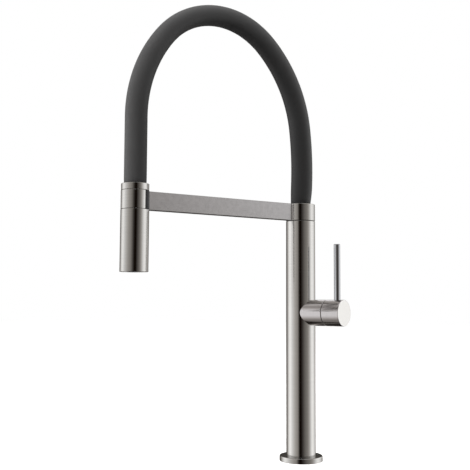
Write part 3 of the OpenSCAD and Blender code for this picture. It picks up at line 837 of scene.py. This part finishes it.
def studio():
    """Soft boxes round the faucet, as a function of direction; the camera sees plain white."""
    world = bpy.data.worlds.new("studio")
    bpy.context.scene.world = world
    world.use_nodes = True
    k = Nodes(world.node_tree)
    out = k.add("ShaderNodeOutputWorld")
    c = k.add("ShaderNodeTexCoord")
    split = k.add("ShaderNodeSeparateXYZ")
    k.link(c.outputs["Generated"], split.inputs[0])
    flat = k.add("ShaderNodeCombineXYZ")
    k.link(split.outputs[0], flat.inputs[0])
    k.link(split.outputs[1], flat.inputs[1])
    level = k.add("ShaderNodeVectorMath", operation="NORMALIZE")
    k.link(flat.outputs[0], level.inputs[0])

    def glow(vector, towards, width, power):
        """Soft box of the given width in degrees, as a smooth lobe round a direction."""
        dot = k.add("ShaderNodeVectorMath", operation="DOT_PRODUCT")
        k.link(vector, dot.inputs[0])
        dot.inputs[1].default_value = towards
        fade = 2 / math.radians(width) ** 2
        lobe = k.math("EXPONENT", k.math("MULTIPLY_ADD", dot.outputs["Value"], fade, -fade))
        return k.math("MULTIPLY", lobe, power)

    def beside(degrees):
        """Level direction, turned from the one towards the camera."""
        a = CAMERA_AZ + math.radians(degrees)
        return Vector((math.sin(a), -math.cos(a), 0))

    total = 0.065
    # side, width and strength of the upright soft boxes
    for side, width, power in ((-98, 27, 0.95), (-60, 36, 0.48), (101, 27, 0.92), (80, 43, 0.18),
                               (-20, 14, 0.07), (32, 22, 0.10), (135, 22, 0.42)):
        total = k.math("ADD", glow(level.outputs[0], beside(side), width, power), total)
    height = k.math("ARCSINE", split.outputs[2])
    above = k.span(height, math.radians(12), math.radians(46), 1.0, 0.12, "SMOOTHSTEP")
    below = k.span(height, math.radians(-56), math.radians(-14), 0.16, 1.0, "SMOOTHSTEP")
    total = k.math("MULTIPLY", total, k.math("MULTIPLY", above, below))
    total = k.math("ADD", total, glow(c.outputs["Generated"], (0, 0, 1), 34, 0.9))
    raised = math.radians(36)
    behind = beside(180) * math.cos(raised) + Vector((0, 0, math.sin(raised)))
    total = k.math("ADD", total, glow(c.outputs["Generated"], behind, 10, 1.3))
    light = k.add("ShaderNodeBackground")
    k.link(k.mix(k.span(total, 0.0, 0.8, 0.0, 1.0), (1.09, 1.0, 0.91), (1.0, 1.0, 1.0)),
           light.inputs[0])
    k.link(total, light.inputs[1])
    white = k.add("ShaderNodeBackground")
    white.inputs[0].default_value = (1, 1, 1, 1)
    path = k.add("ShaderNodeLightPath")
    mix = k.add("ShaderNodeMixShader")
    k.link(path.outputs["Is Camera Ray"], mix.inputs[0])
    k.link(light.outputs[0], mix.inputs[1])
    k.link(white.outputs[0], mix.inputs[2])
    k.link(mix.outputs[0], out.inputs[0])


def floor():
    """Plain pale floor, which the steel does not mirror."""
    bm = bmesh.new()
    bmesh.ops.create_grid(bm, x_segments=8, y_segments=8, size=6)
    m, k, p = material("floor")
    k.link(k.mix(k.noise(6, 2.0), (0.90, 0.90, 0.90), (0.93, 0.93, 0.93)), p.inputs["Base Color"])
    p.inputs["Roughness"].default_value = 0.9
    p.inputs["Specular IOR Level"].default_value = 0.1
    p.inputs["Emission Color"].default_value = (1, 1, 1, 1)
    p.inputs["Emission Strength"].default_value = 0.60
    ob = new_object("floor", bm)
    ob.data.materials.append(m)
    ob.visible_glossy = False


def dark_card():
    """Narrow dark card between the camera and the faucet, seen only in the steel's gloss. It
    fades out to both sides, steeply to the left and slowly to the right."""
    away, middle, width, height = 0.54, 0.35, 1.8, 2.4
    towards = Vector((math.sin(CAMERA_AZ), -math.cos(CAMERA_AZ), 0))
    bm = bmesh.new()
    bmesh.ops.create_grid(bm, x_segments=1, y_segments=1, size=0.5)
    bmesh.ops.transform(bm, matrix=Matrix.Diagonal((width, height, 1, 1)), verts=bm.verts)
    m = bpy.data.materials.new("dark_card")
    m.use_nodes = True
    k = Nodes(m.node_tree)
    out = k.add("ShaderNodeOutputMaterial")
    x = k.add("ShaderNodeSeparateXYZ")
    k.link(k.coords((1, 1, 1)), x.inputs[0])
    left = k.math("MAXIMUM", k.math("MULTIPLY", x.outputs[0], -1.0), 0.0)
    right = k.math("MAXIMUM", x.outputs[0], 0.0)
    left = k.math("POWER", k.math("DIVIDE", left, 0.18), 4.0)
    right = k.math("POWER", k.math("DIVIDE", right, 0.30), 1.2)
    fade = k.math("EXPONENT", k.math("MULTIPLY", k.math("ADD", left, right), -1.0))
    clear = k.add("ShaderNodeBsdfTransparent")
    dim = k.add("ShaderNodeEmission")
    dim.inputs[0].default_value = (0.0046, 0.0018, 0.0004, 1)
    mix = k.add("ShaderNodeMixShader")
    k.link(fade, mix.inputs[0])
    k.link(clear.outputs[0], mix.inputs[1])
    k.link(dim.outputs[0], mix.inputs[2])
    k.link(mix.outputs[0], out.inputs[0])
    ob = new_object("dark_card", bm)
    ob.matrix_world = Matrix.Translation(towards * away + Vector((0, 0, middle))) \
        @ Matrix.Rotation(CAMERA_AZ, 4, "Z") @ Matrix.Rotation(math.pi / 2, 4, "X")
    ob.data.materials.append(m)
    ob.visible_camera = False
    ob.visible_diffuse = False
    ob.visible_shadow = False


def soft_light(name, at, aim, size, power):
    """Square light of the given size, aimed at a point and not mirrored in the steel."""
    data = bpy.data.lights.new(name, "AREA")
    data.shape = "RECTANGLE"
    data.size = data.size_y = size
    data.energy = power
    ob = bpy.data.objects.new(name, data)
    bpy.context.scene.collection.objects.link(ob)
    ob.location = at
    ob.rotation_mode = "QUATERNION"
    ob.rotation_quaternion = (Vector(aim) - Vector(at)).to_track_quat("-Z", "Y")
    ob.visible_glossy = False
    ob.visible_camera = False


studio()
floor()
dark_card()
soft_light("key", (-1.3, -1.0, 1.0), (-0.05, -0.15, 0.35), 0.9, 16)
soft_light("top", (0.1, -0.2, 2.2), (0, -0.1, 0), 2.4, 34)
